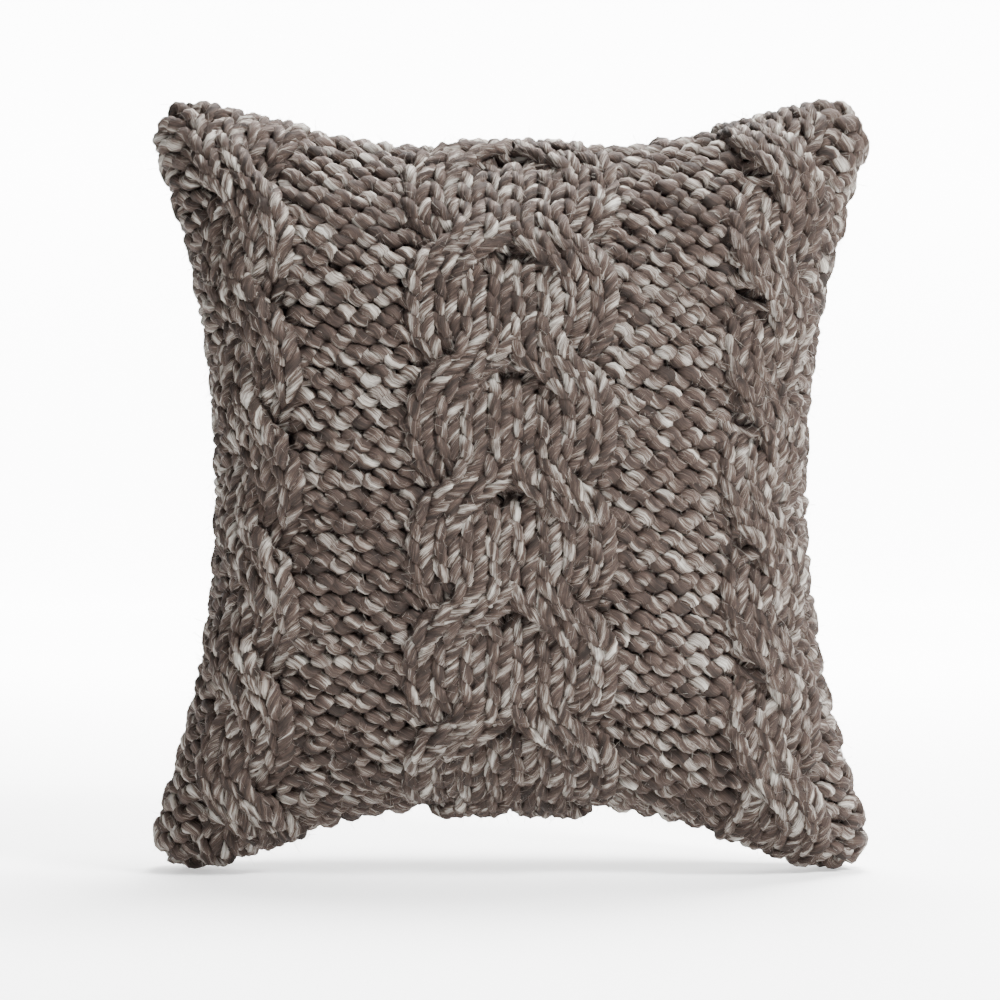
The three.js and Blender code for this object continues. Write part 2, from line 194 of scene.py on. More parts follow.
# How far a loop swings across, in stitches, and reaches up and down, in rows.
PURL_SWING, KNIT_SWING = 0.16, 0.26
PURL_REACH, KNIT_REACH = 0.72, 0.98
PURL_SLANT = 0.09
# How unevenly the stitches lie: in stitches and rows, and in metres out.
FRONT_UNEVEN = (0.05, 0.0005)
BACK_UNEVEN = (0.04, 0.0004)
# The share of its depth by which the top of a knit loop leans in, and how deep the knit lies.
KNIT_LEAN = 0.35
FRONT_SINK = 0.0012
# The girth of the yarn in each panel and where it turns back. Purl is thicker, and yarn that
# passes behind is thinner, which is full at that depth.
FRONT_GIRTH, BACK_GIRTH, TURN_GIRTH = 1.08, 1.12, 0.95
PURL_THICKER = 0.10
BEHIND_THIN = 0.20
BEHIND_DEPTH = 0.003
# The least height of the yarn's middle above the floor, in radii.
FLOOR_RADII = 1.34

# Where strands cross: how far they spread as they turn, how far the purl stitches beside them
# are pulled in, and how deep the stitches between them are carried.
PLAIT_SPREAD = 0.18
PULL_IN = 0.60
PULL_FADE = 2.2
CARRY_DEPTH = 0.0035
DIVE = 0.7

# The seam's lacing: how far it lies inside the outline, how far it swings to each side and
# sways in and out, and the length of one turn.
SEAM_INSET = 0.0050
SEAM_SWING = 0.0052
SEAM_SWAY = 0.0012
SEAM_STEP = 0.0128
SEAM_SAMPLES = 600
TURN_SAMPLES = 10
SEAM_FLOOR = 0.0036
SEAM_GIRTH = 0.82
# Each run of seam yarn: the outline's side it follows, and the share of it from and to.
SEAMS = {
    "left": (2, 0.03, 0.97),
    "right": (3, 0.03, 0.97),
    "top": (1, 0.03, 0.97),
    "bottom_left": (0, 0.03, 0.154),
    "bottom_right": (0, 0.846, 0.97),
}

# The loose fibres: how many stand on each piece of a panel, and their size.
FRONT_FIBRES = 6800
BACK_FIBRES = 3200
FIBRE_LENGTH = 0.0056
FIBRE_RADIUS = 0.00007
FIBRE_FLOOR = 0.0006

# The studio: a paper sweep that glows as painted light, faintly in front of the pillow and
# strongly on its far wall, a soft sky and three lamps, each at a place, with a size and a power.
# Its camera looks at the middle of the pillow from a little above.
SWEEP_HALF, SWEEP_REACH, SWEEP_TURN, SWEEP_TOP = 4.5, 3.4, 0.9, 4.2
SWEEP_DROP = 0.0004
SKY = 0.33
LAMPS = {
    "key": ((1.35, -1.1, 1.75), 0.5, 160.0),
    "fill": ((-1.7, -1.5, 0.9), 1.4, 1.5),
    "top": ((0.3, 0.45, 1.9), 0.9, 190.0),
}
AIM = Vector((-0.007, 0, HEIGHT / 2 - 0.0095))
CAMERA_BACK = Vector((0, -1.775, 0.02))


def in_metres(name, description, default, low, high):
    return FloatProperty(name=name, description=description, default=default, min=low, max=high,
                         unit="LENGTH", precision=4)


def in_colour(name, description, default):
    return FloatVectorProperty(name=name, description=description, default=default,
                               subtype="COLOR", size=3, min=0, max=1)


class PillowSizes(PropertyGroup):
    """Sizes that change how the cover is knitted and how full the pillow is."""

    yarn_radius: in_metres("Yarn radius", "Half the thickness of the roving", 0.0041, 0.001, 0.008)
    twist: in_metres("Twist", "Length of yarn in one turn of its twist", 0.036, 0.01, 0.2)
    purl_width: in_metres("Purl stitch", "Width of a purl stitch", 0.0147, 0.005, 0.03)
    cable_width: in_metres("Cable stitch", "Width of a cable stitch", 0.0165, 0.005, 0.03)
    loop_depth: in_metres("Loop depth", "How far a loop swings in and out", 0.0034, 0.0, 0.01)
    cable_rise: in_metres("Cable rise", "How far the cables stand out", 0.0040, 0.0, 0.015)
    crossing_rise: in_metres("Crossing rise", "How far a crossing stands out", 0.0050, 0.0, 0.015)
    back_stitches: IntProperty(
        name="Back stitches", description="Stitches across the plain back panel",
        default=30, min=10, max=60,
    )
    swell: in_metres("Swell", "Most that the filling may move the cover", 0.006, 0.0, 0.02)


class PillowColours(PropertyGroup):
    """Colours of the yarn, the cloths and the zip."""

    yarn_dark: in_colour("Yarn, dark", "Darkest fibres of the marl", (0.010, 0.0062, 0.0045))
    yarn_mid: in_colour("Yarn, middle", "Most of the marl", (0.062, 0.0415, 0.0330))
    yarn_light: in_colour("Yarn, light", "Silver slubs of the marl", (0.47, 0.455, 0.41))
    lining: in_colour("Lining", "Cotton behind the knitting", (0.045, 0.036, 0.032))
    casing: in_colour("Casing", "Cotton around the filling", (0.80, 0.78, 0.74))
    zip_tape: in_colour("Zip tape", "Woven tape of the zip", (0.06, 0.048, 0.042))
    metal: in_colour("Zip metal", "Slider, tab and stops", (0.21, 0.20, 0.19))


# ---------------------------------------------------------------- node graphs


class Wire:
    """One output of a node, on which sums are written as on a number."""

    def __init__(self, graph, socket):
        self.graph = graph
        self.socket = socket

    def other(self, name):
        return Wire(self.graph, self.socket.node.outputs[name])

    def _sum(self, operation, *terms):
        return self.graph.add("ShaderNodeMath", {"operation": operation}, dict(enumerate(terms)))

    def __add__(self, term):
        return self._sum("ADD", self, term)

    def __sub__(self, term):
        return self._sum("SUBTRACT", self, term)

    def __rsub__(self, term):
        return self._sum("SUBTRACT", term, self)

    def __mul__(self, term):
        return self._sum("MULTIPLY", self, term)

    def __truediv__(self, term):
        return self._sum("DIVIDE", self, term)

    def sine(self):
        return self._sum("SINE", self)

    def cosine(self):
        return self._sum("COSINE", self)

    def size(self):
        return self._sum("ABSOLUTE", self)

    def ramp(self, low, high):
        """0 below low, 1 above high and smooth between them."""
        settings = {"interpolation_type": "SMOOTHSTEP"}
        return self.graph.add("ShaderNodeMapRange", settings, {0: self, 1: low, 2: high})

    __radd__ = __add__
    __rmul__ = __mul__


class Graph:
    """A node tree that is written from left to right."""

    def __init__(self, tree):
        self.tree = tree

    def add(self, kind, settings=None, values=None, out=0):
        """A node with its settings first and then the values or links of its sockets."""
        node = self.tree.nodes.new(kind)
        for name, value in (settings or {}).items():
            setattr(node, name, value)
        for name, value in (values or {}).items():
            if isinstance(value, Wire):
                self.tree.links.new(value.socket, node.inputs[name])
            else:
                node.inputs[name].default_value = value
        return Wire(self, node.outputs[out]) if len(node.outputs) else node

    def colours(self, factor, stops):
        """A colour ramp through (place, colour) stops."""
        wire = self.add("ShaderNodeValToRGB", None, {0: factor})
        ramp = wire.socket.node.color_ramp
        while len(ramp.elements) < len(stops):
            ramp.elements.new(1.0)
        for element, (place, colour) in zip(ramp.elements, stops):
            element.position = place
            element.color = (*colour, 1.0)
        return wire

    def mixed(self, factor, first, second, blend="MIX"):
        settings = {"data_type": "RGBA", "blend_type": blend}
        return self.add("ShaderNodeMix", settings, {0: factor, 6: first, 7: second}, out=2)

    def place(self):
        return self.add("ShaderNodeTexCoord", out="Object")

    def weave(self):
        """The cloth's own map, and the two directions of its threads."""
        place = self.add("ShaderNodeUVMap", {"uv_map": "cloth"})
        split = self.add("ShaderNodeSeparateXYZ", None, {0: place})
        return place, split, split.other("Y")

    def scaled(self, vector, by):
        return self.add("ShaderNodeVectorMath", {"operation": "MULTIPLY"}, {0: vector, 1: by})

    def noise(self, vector, scale, detail=2.0, roughness=0.5):
        values = {"Vector": vector, "Scale": scale, "Detail": detail, "Roughness": roughness}
        return self.add("ShaderNodeTexNoise", None, values)

    def bump(self, height, distance, strength=1.0, under=None):
        values = {"Height": height, "Distance": distance, "Strength": strength}
        if under is not None:
            values["Normal"] = under
        return self.add("ShaderNodeBump", None, values)


FINISHES = {}


def finish_named(name, build, **constant):
    """The finish of that name, whose colour, roughness and normal come from build(graph)."""
    if name in FINISHES:
        return FINISHES[name]
    material = FINISHES[name] = bpy.data.materials.new(name)
    material.use_nodes = True
    tree = material.node_tree
    shader = next(n for n in tree.nodes if n.type == "BSDF_PRINCIPLED")
    for socket, value in constant.items():
        shader.inputs[socket.replace("_", " ").title().replace("Ior", "IOR")].default_value = value
    for socket, wire in build(Graph(tree)).items():
        tree.links.new(wire.socket, shader.inputs[socket])
    return material


# ---------------------------------------------------------------- finishes


def colour_of(name):
    return tuple(getattr(bpy.context.scene.pillow_colours, name))


def between(first, second, share):
    """The colour that lies that share of the way from the first to the second."""
    return tuple((1 - share) * a + share * b for a, b in zip(first, second))


def yarn_finish():
    """Marled roving: fibres laid along the twist, dark and silver together, with pale slubs."""
    dark, mid, light = (colour_of("yarn_" + shade) for shade in ("dark", "mid", "light"))

    def build(graph):
        grain = graph.add("ShaderNodeAttribute", {"attribute_name": "grain"}, out="Vector")
        fibres = graph.noise(graph.scaled(grain, (4.2, 4.2, 50.0)), 1.5, 3.0, 0.62)
        hairs = graph.noise(graph.scaled(grain, (15.0, 15.0, 110.0)), 1.7, 3.0, 0.75)
        slubs = graph.noise(graph.scaled(grain, (0.75, 0.75, 66.0)), 1.0, 2.0, 0.5)
        bands = graph.noise(graph.scaled(grain, (0.0, 0.0, 2.6)), 1.0, 1.0, 0.5)
        shade = slubs * 0.76 + fibres * 0.38 + hairs * 0.42 + bands * 0.16 - 0.36
        marl = graph.colours(shade.ramp(0.275, 0.80), [
            (0.0, dark),
            (0.30, between(dark, mid, 0.5)),
            (0.50, mid),
            (0.76, between(mid, light, 0.45)),
            (1.0, light),
        ])
        warm = graph.noise(graph.scaled(grain, (1.0, 1.0, 40.0)), 1.0, 1.0)
        tinted = graph.mixed(warm.ramp(0.35, 0.7) * 0.5, marl, (1.0, 0.93, 0.87, 1.0), "MULTIPLY")
        coarse = graph.bump(fibres, 0.0011, 0.85)
        fine = graph.bump(hairs, 0.0005, 0.7, coarse)
        return {"Base Color": tinted, "Roughness": fibres * 0.2 + 0.72, "Normal": fine}

    return finish_named("marled roving", build, specular_ior_level=0.25)


def fuzz_finish():
    """Loose ends of the same fibres."""
    mid, light = colour_of("yarn_mid"), colour_of("yarn_light")

    def build(graph):
        stops = [(0.35, mid), (0.65, between(mid, light, 0.45))]
        return {"Base Color": graph.colours(graph.noise(graph.place(), 160.0, 1.0), stops)}

    return finish_named("fuzz", build, roughness=0.85)


def woven(name, colour, pitch, dip, worn=0.12):
    """Plain weave in two directions on the piece's own map, a little uneven in colour."""

    def build(graph):
        place, across, along = graph.weave()
        turn = 2 * math.pi / pitch
        weft, warp = (across * turn).sine(), (along * turn).sine()
        threads = weft.size() * 0.4 + warp.size() * 0.4 + weft * warp * 0.2
        uneven = graph.noise(place, 38.0, 3.0, 0.6)
        shade = threads * 0.25 + uneven * 0.9
        lighter = tuple(min(1.0, c * (1 + worn) + 0.01) for c in colour)
        darker = tuple(c * (1 - 2.2 * worn) for c in colour)
        tone = graph.colours(shade, [(0.35, darker), (0.8, lighter)])
        return {
            "Base Color": tone,
            "Roughness": uneven * 0.15 + 0.78,
            "Normal": graph.bump(threads, dip, 0.7),
        }

    return finish_named(name, build, sheen_weight=0.08)


def fibre_finish():
    """Carded polyester fibre: white, tangled and soft."""

    def build(graph):
        place = graph.place()
        strands = graph.noise(graph.scaled(place, (1.0, 1.0, 2.6)), 210.0, 4.0, 0.65)
        clumps = graph.noise(place, 26.0, 2.0)
        tone = graph.colours(strands * 0.5 + clumps * 0.5, [
            (0.3, (0.66, 0.66, 0.65)),
            (0.7, (0.90, 0.90, 0.88)),
        ])
        return {"Base Color": tone, "Normal": graph.bump(strands, 0.002, 0.6)}

    return finish_named("fibre", build, roughness=0.95)


def coil_finish():
    """Nylon coil, drawn smooth, with a faint lengthwise grain."""

    def build(graph):
        place = graph.place()
        grain = graph.noise(place, 900.0, 2.0)
        tone = graph.colours(grain, [(0.3, (0.05, 0.041, 0.036)), (0.7, (0.085, 0.07, 0.062))])
        return {"Base Color": tone, "Roughness": grain * 0.2 + 0.3}

    return finish_named("coil", build, coat_weight=0.15)


def metal_finish():
    """Gunmetal plate, tumbled satin, with light scuffs and bright worn spots."""
    metal = colour_of("metal")

    def build(graph):
        place = graph.place()
        brushed = graph.noise(graph.scaled(place, (1.0, 1.0, 6.0)), 900.0, 3.0, 0.6)
        scuffs = graph.noise(place, 420.0, 4.0, 0.7)
        worn = scuffs.ramp(0.56, 0.68)
        bright = tuple(min(1.0, 2.1 * c) for c in metal)
        tone = graph.mixed(worn * 0.5, (*metal, 1.0), (*bright, 1.0))
        return {
            "Base Color": tone,
            "Roughness": brushed * 0.16 + scuffs * 0.18 + 0.2,
            "Normal": graph.bump(brushed, 0.00004, 0.5),
        }

    return finish_named("zip metal", build, metallic=1.0)


def satin_finish():
    """Blank satin tape, bright across its floats."""

    def build(graph):
        place, _, along = graph.weave()
        ribs = (along * (2 * math.pi / 0.0005)).sine()
        uneven = graph.noise(place, 120.0, 2.0)
        tone = graph.colours(uneven, [(0.3, (0.78, 0.76, 0.72)), (0.7, (0.88, 0.86, 0.82))])
        return {"Base Color": tone, "Normal": graph.bump(ribs, 0.00008, 0.5)}

    return finish_named("satin", build, roughness=0.35, sheen_weight=0.1)


# ---------------------------------------------------------------- the stuffed form


def smooth(share):
    share = np.clip(share, 0.0, 1.0)
    return share * share * (3.0 - 2.0 * share)


def even_points(points, count):
    """The same line as count points, evenly spaced along it."""
    steps = np.linalg.norm(np.diff(points, axis=0), axis=1)
    along = np.concatenate([[0.0], np.cumsum(steps)])
    wanted = np.linspace(0.0, along[-1], count)
    return np.stack([np.interp(wanted, along, column) for column in points.T], axis=1)


def hollow_arc(half, pull):
    """An arc that touches two round ears: its radius, and how far past the line between the
    ears' middles its own middle lies."""
    dip = pull - EAR
    radius = (half**2 + dip**2 - EAR**2) / (2 * (EAR + dip))
    return radius, radius - dip


def side_line(start, end, inward, pull, depth, count):
    """One side of the outline from ear to ear, drawn in by depth: half an ear, a hollow arc
    that touches both ears, and half an ear."""
    start, end, inward = (np.array(v, float) for v in (start, end, inward))
    middle = (start + end) / 2
    half = np.linalg.norm(end - start) / 2
    along = (end - start) / (2 * half)
    radius, past = hollow_arc(half, pull)
    lean = math.atan2(half, past)
    turns = np.linspace(-math.pi / 4, lean, 40)[:, None]
    ear = (EAR - depth) * (along * np.sin(turns) - inward * np.cos(turns))
    mirrored = (EAR - depth) * (-along * np.sin(turns) - inward * np.cos(turns))
    sweep = np.linspace(-lean, lean, 120)[:, None]
    centre = middle - inward * past
    arc = centre + (radius + depth) * (inward * np.cos(sweep) + along * np.sin(sweep))
    line = np.concatenate([start + ear[:-1], arc, (end + mirrored)[::-1][1:]])
    line[:, 1] = np.maximum(line[:, 1], depth)
    return even_points(line, count)


def outline(depth, count):
    """Bottom and top from left to right, left and right from bottom to top."""
    low_left, low_right = (-EAR_REACH, EAR_LOW), (EAR_REACH, EAR_LOW)
    high_left, high_right = (-EAR_REACH, EAR_HIGH), (EAR_REACH, EAR_HIGH)
    sides = (
        (low_left, low_right, (0, 1), BOTTOM_PULL),
        (high_left, high_right, (0, -1), TOP_PULL),
        (low_left, high_left, (1, 0), SIDE_PULL),
        (low_right, high_right, (-1, 0), SIDE_PULL),
    )
    return [side_line(*side, depth, count) for side in sides]


def plain_skin(side, depth, rim, sink, count):
    """A grid over one half of the pillow, that deep inside its outer skin, with the crown
    drawn in by sink more. The first index runs from left to right and the second from bottom
    to top."""
    spread = (1 + np.sin(np.linspace(-math.pi / 2, math.pi / 2, count))) / 2
    dense = 801
    lines = outline(depth, dense)
    even = np.linspace(0, 1, dense)
    bottom, top, left, right = (
        np.stack([np.interp(spread, even, column) for column in line.T], axis=1)
        for line in lines
    )
    u, v = spread[:, None, None], spread[None, :, None]
    flat = (
        (1 - v) * bottom[:, None] + v * top[:, None] + (1 - u) * left[None] + u * right[None]
        - (1 - u) * (1 - v) * bottom[0] - u * (1 - v) * bottom[-1]
        - (1 - u) * v * top[0] - u * v * top[-1]
    )
    off = [np.abs(2 * share[..., 0] - 1) - CROWN_FLAT for share in (u, v)]
    out = [np.maximum(0, share / (1 - CROWN_FLAT)) for share in off]
    crown = np.sqrt((1 - out[0] ** 2) * (1 - out[1] ** 2))
    thick = rim + (HALF_THICKNESS - depth - sink - rim) * crown
    return np.stack([flat[..., 0], side * thick, flat[..., 1]], axis=2)


def evened(grid, count):
    """The grid with even spacing along its rows and then along its columns."""
    rows = np.stack([even_points(grid[:, j], count) for j in range(grid.shape[1])], axis=1)
    return np.stack([even_points(rows[i], count) for i in range(count)], axis=0)


def grid_faces(count, start=0, flip=False):
    """Quads of a count by count grid whose points are numbered from start."""
    i, j = np.meshgrid(np.arange(count - 1), np.arange(count - 1), indexing="ij")
    a = start + i * count + j
    quads = np.stack([a, a + count, a + count + 1, a + 1], axis=-1).reshape(-1, 4)
    return quads[:, ::-1] if flip else quads


def rim_indices(count):
    """The border of a grid as one ring of point numbers."""
    low = np.arange(count) * count
    right = (count - 1) * count + np.arange(1, count)
    high = (np.arange(count - 1)[::-1]) * count + count - 1
    left = np.arange(1, count - 1)[::-1]
    return np.concatenate([low, right, high, left])


def mesh_of(name, points, edges=(), faces=()):
    mesh = bpy.data.meshes.new(name)
    mesh.from_pydata(*(np.asarray(part).tolist() for part in (points, edges, faces)))
    return mesh


def linked(name, data):
    """A new object in the scene."""
    made = bpy.data.objects.new(name, data)
    bpy.context.scene.collection.objects.link(made)
    return made


def read(items, field, kind=np.float32, width=1):
    """One field of a mesh's points, corners or faces."""
    values = np.zeros(len(items) * width, kind)
    items.foreach_get(field, values)
    return values


def map_cloth(mesh, weave):
    """Maps the weave, whose place is given in metres for each point, in place of other maps."""
    for old in list(mesh.uv_layers):
        mesh.uv_layers.remove(old)
    corner = read(mesh.loops, "vertex_index", np.int32)
    layer = mesh.uv_layers.new(name="cloth")
    layer.data.foreach_set("uv", weave[corner].astype(np.float32).ravel())


def closed_mesh(name, front, back):
    """One closed mesh of a front grid and a back grid, joined by a band round the rim."""
    count = front.shape[0]
    points = np.concatenate([front.reshape(-1, 3), back.reshape(-1, 3)])
    shift = count * count
    ring = rim_indices(count)
    band = np.stack([ring, np.roll(ring, -1), np.roll(ring, -1) + shift, ring + shift], axis=1)
    faces = np.concatenate([grid_faces(count), grid_faces(count, shift, True), band[:, ::-1]])
    mesh = mesh_of(name, points, faces=faces)
    mesh.validate()
    return mesh


def stuffed_move(size):
    """How filling under pressure moves the two halves of the cover, as grids of offsets. The
    rim is held, and no point moves further than size."""
    count = STUFFING_COUNT
    halves = [evened(plain_skin(side, *KNIT_PLACE, 121), count) for side in (FRONT, BACK)]
    for half in halves:
        half[..., 1] *= STUFFING_START
    mesh = closed_mesh("stuffing", *halves)
    body = linked("stuffing", mesh)
    scene = bpy.context.scene
    held = body.vertex_groups.new(name="rim")
    ring = rim_indices(count)
    held.add([int(i) for i in ring] + [int(i) + count * count for i in ring], 1.0, "REPLACE")
    cloth = body.modifiers.new("stuffed", "CLOTH")
    for key, value in STUFFING.items():
        setattr(cloth.settings, key, value)
    cloth.settings.effector_weights.gravity = 0.0
    for clock in (scene, cloth.point_cache):
        clock.frame_start, clock.frame_end = 1, STUFFING_STEPS
    for number in range(1, STUFFING_STEPS + 1):
        scene.frame_set(number)
    shaped = body.evaluated_get(bpy.context.evaluated_depsgraph_get()).to_mesh()
    after = read(shaped.vertices, "co", width=3)
    before = np.concatenate([half.reshape(-1, 3) for half in halves])
    move = after.reshape(-1, 3) - before
    bpy.data.objects.remove(body)
    scene.frame_set(1)
    length = np.linalg.norm(move, axis=1, keepdims=True)
    move *= size * np.tanh(length / size) / np.maximum(length, 1e-9)
    moves = list(move.reshape(2, count, count, 3))
    for grid in moves:
        for _ in range(STUFFING_SMOOTHINGS):
            grid[1:-1, 1:-1] = (
                grid[1:-1, 1:-1] * 2 + grid[:-2, 1:-1] + grid[2:, 1:-1]
                + grid[1:-1, :-2] + grid[1:-1, 2:]
            ) / 6
    return moves


def even_shares(count):
    """The shares s and t of a count by count grid's two directions."""
    share = np.linspace(0, 1, count)
    return np.meshgrid(share, share, indexing="ij")


def sampled(grid, s, t):
    """The grid's value at the shares s and t of its two directions."""
    count = grid.shape[0] - 1
    x, y = np.clip(s, 0, 1) * count, np.clip(t, 0, 1) * count
    i, j = np.minimum(x.astype(int), count - 1), np.minimum(y.astype(int), count - 1)
    a, b = (x - i)[..., None], (y - j)[..., None]
    low = grid[i, j] * (1 - a) + grid[i + 1, j] * a
    high = grid[i, j + 1] * (1 - a) + grid[i + 1, j + 1] * a
    return low * (1 - b) + high * b


class Skin:
    """One half of the pillow at one depth, which gives a place and a normal for each share of
    the way across and up."""

    moves = None

    def __init__(self, side, depth, rim, sink):
        sizes = bpy.context.scene.pillow_sizes
        if Skin.moves is None:
            Skin.moves = dict(zip((FRONT, BACK), stuffed_move(sizes.swell)))
        self.side = side
        self.grid = evened(plain_skin(side, depth, rim, sink, 161), SKIN_COUNT)
        self.grid += sampled(Skin.moves[side], *even_shares(SKIN_COUNT))
        across = np.gradient(self.grid, axis=0)
        up = np.gradient(self.grid, axis=1)
        normal = np.cross(across, up)
        normal /= np.maximum(np.linalg.norm(normal, axis=2, keepdims=True), 1e-12)
        self.normal = normal if side == FRONT else -normal

    def place(self, s, t, lift):
        normal = sampled(self.normal, s, t)
        normal /= np.maximum(np.linalg.norm(normal, axis=-1, keepdims=True), 1e-12)
        return sampled(self.grid, s, t) + normal * lift[..., None]


# ---------------------------------------------------------------- spinning yarn


def wandering(length, step, seed, size):
    """A smooth random line along a length, with a new value each step."""
    rng = np.random.default_rng(seed)
    knots = rng.normal(0.0, 1.0, max(4, int(length[-1] / step) + 4))
    place = length / step
    i = np.minimum(place.astype(int), len(knots) - 2)
    share = smooth(place - i)
    return size * (knots[i] * (1 - share) + knots[i + 1] * share)


def tree_named(name, inputs, output, build):
    """The Geometry Nodes tree of that name, whose mesh comes from build(graph, given)."""
    tree = bpy.data.node_groups.get(name)
    if tree:
        return tree
    tree = bpy.data.node_groups.new(name, "GeometryNodeTree")
    for socket, kind in {**inputs, "Finish": "Material"}.items():
        tree.interface.new_socket(socket, in_out="INPUT", socket_type="NodeSocket" + kind)
    tree.interface.new_socket(output, in_out="OUTPUT", socket_type="NodeSocketGeometry")
    graph = Graph(tree)
    given = graph.add("NodeGroupInput")
    made = build(graph, given)
    made = graph.add("GeometryNodeRealizeInstances", None, {"Geometry": made})
    made = graph.add("GeometryNodeSetMaterial", None,
                     {"Geometry": made, "Material": given.other("Finish")})
    graph.add("NodeGroupOutput", None, {output: made})
    return tree


def spinning_tree():
    """Turns a path into yarn: a lobed ring is swept along it, turned by tilt and sized by
    girth."""

    def build(graph, given):
        curve = graph.add("GeometryNodeMeshToCurve", None, {"Mesh": given})
        tilt = graph.add("GeometryNodeInputNamedAttribute", None, {"Name": "tilt"})
        turned = graph.add("GeometryNodeSetCurveTilt", None, {"Curve": curve, "Tilt": tilt})
        ring = graph.add("GeometryNodeCurvePrimitiveCircle", None,
                         {"Resolution": given.other("Sides"), "Radius": 1.0})
        index = graph.add("GeometryNodeInputIndex")
        angle = index * (2 * math.pi) / given.other("Sides")
        swell = (angle * 3.0).cosine() * given.other("Lobe") + 1.0
        here = graph.add("GeometryNodeInputPosition")
        lobed = graph.add("ShaderNodeVectorMath", {"operation": "SCALE"},
                          {0: here, "Scale": swell})
        ring = graph.add("GeometryNodeSetPosition", None, {"Geometry": ring, "Position": lobed})
        ring = graph.add("GeometryNodeStoreNamedAttribute",
                         {"data_type": "FLOAT", "domain": "POINT"},
                         {"Geometry": ring, "Name": "ring", "Value": index / given.other("Sides")})
        girth = graph.add("GeometryNodeInputNamedAttribute", None, {"Name": "girth"})
        yarn = graph.add("GeometryNodeCurveToMesh", None, {
            "Curve": turned, "Profile Curve": ring, "Scale": girth, "Fill Caps": True,
        })
        return graph.add("GeometryNodeSetShadeSmooth", None, {"Geometry": yarn})

    inputs = {"Path": "Geometry", "Sides": "Int", "Lobe": "Float"}
    return tree_named("spinning", inputs, "Yarn", build)


def made_by(tree, source, name, **inputs):
    """A plain mesh object, from what the tree makes of the source mesh."""
    worker = linked(name + " path", source)
    modifier = worker.modifiers.new("making", "NODES")
    modifier.node_group = tree
    known = {item.name: item.identifier for item in tree.interface.items_tree
             if item.item_type == "SOCKET" and item.in_out == "INPUT"}
    for key, value in inputs.items():
        modifier[known[key]] = value
    made = worker.evaluated_get(bpy.context.evaluated_depsgraph_get())
    mesh = bpy.data.meshes.new_from_object(made)
    worker.modifiers.remove(modifier)
    bpy.data.objects.remove(worker)
    bpy.data.meshes.remove(source)
    mesh.name = name
    return linked(name, mesh)


def strip_map(mesh, ring, run):
    """Maps yarn for baking: its whole length is cut into strips that lie side by side, with the
    way round the yarn across each strip."""
    point = read(mesh.loops, "vertex_index", np.int32)
    first = read(mesh.polygons, "loop_start", np.int32)
    size = read(mesh.polygons, "loop_total", np.int32)
    around, along = ring[point], run[point]
    low = np.repeat(np.minimum.reduceat(around, first), size)
    high = np.repeat(np.maximum.reduceat(around, first), size)
    around = np.where((high - low > 0.5) & (around < 0.5), around + 1, around)
    girth = 2 * math.pi * bpy.context.scene.pillow_sizes.yarn_radius
    whole = float(run.max())
    strips = max(1, round(math.sqrt(whole / girth)))
    reach = whole / strips
    strip = np.floor(np.repeat(np.minimum.reduceat(along, first), size) / reach)
    strip = np.clip(strip, 0, strips - 1)
    spare, gap = 0.01, 0.04
    u = (along - strip * reach) / (reach * (1 + spare))
    v = (strip + gap + (1 - 2 * gap) * around) / strips
    layer = mesh.uv_layers.new(name="OFBake")
    layer.data.foreach_set("uv", np.stack([u, v], axis=1).astype(np.float32).ravel())


def spun(name, paths, seed, sides=12):
    """Yarn along each path. A path is its points and the share of full girth at each."""
    sizes = bpy.context.scene.pillow_sizes
    points, edges, tilts, girths, runs = [], [], [], [], []
    start, run_start = 0, 0.0
    for number, (path, girth) in enumerate(paths):
        steps = np.linalg.norm(np.diff(path, axis=0), axis=1)
        run = np.concatenate([[0.0], np.cumsum(steps)])
        uneven = 1
        for reach, shift, size in UNEVEN:
            uneven = uneven + wandering(run, reach, seed + 7 * number + shift, size)
        points.append(path)
        edges.append(start + np.stack([np.arange(len(path) - 1), np.arange(1, len(path))], 1))
        tilts.append(2 * math.pi * run / sizes.twist)
        girths.append(sizes.yarn_radius * girth * uneven)
        runs.append(run_start + run)
        start += len(path)
        run_start += run[-1] + RUN_GAP
    mesh = mesh_of(name + " path", np.concatenate(points), np.concatenate(edges))
    for key, values in (("tilt", tilts), ("girth", girths), ("run", runs)):
        layer = mesh.attributes.new(key, "FLOAT", "POINT")
        layer.data.foreach_set("value", np.concatenate(values).astype(np.float32))
    piece = made_by(spinning_tree(), mesh, name, Sides=sides, Lobe=LOBE, Finish=yarn_finish())
    mesh = piece.data
    ring, run = (read(mesh.attributes[key].data, "value") for key in ("ring", "run"))
    turn = 2 * math.pi * ring
    grain = np.stack([np.cos(turn), np.sin(turn), run + 1.7 * seed], axis=1)
    layer = mesh.attributes.new("grain", "FLOAT_VECTOR", "POINT")
    layer.data.foreach_set("vector", grain.astype(np.float32).ravel())
    strip_map(mesh, ring, run)
    for key in ("tilt", "girth", "run", "ring"):
        if key in mesh.attributes:
            mesh.attributes.remove(mesh.attributes[key])
    return piece


# ---------------------------------------------------------------- knitting


def crossings():
    """Each crossing as (first stitch of the cable, row, and the rest of CABLES)."""
    found, begin = [], 0
    for name, _, count in BANDS:
        if name in CABLES:
            first, *rest = CABLES[name]
            found += [(begin, row, *rest) for row in np.arange(first, ROWS, CROSSING_EVERY)]
        begin += count
    return found


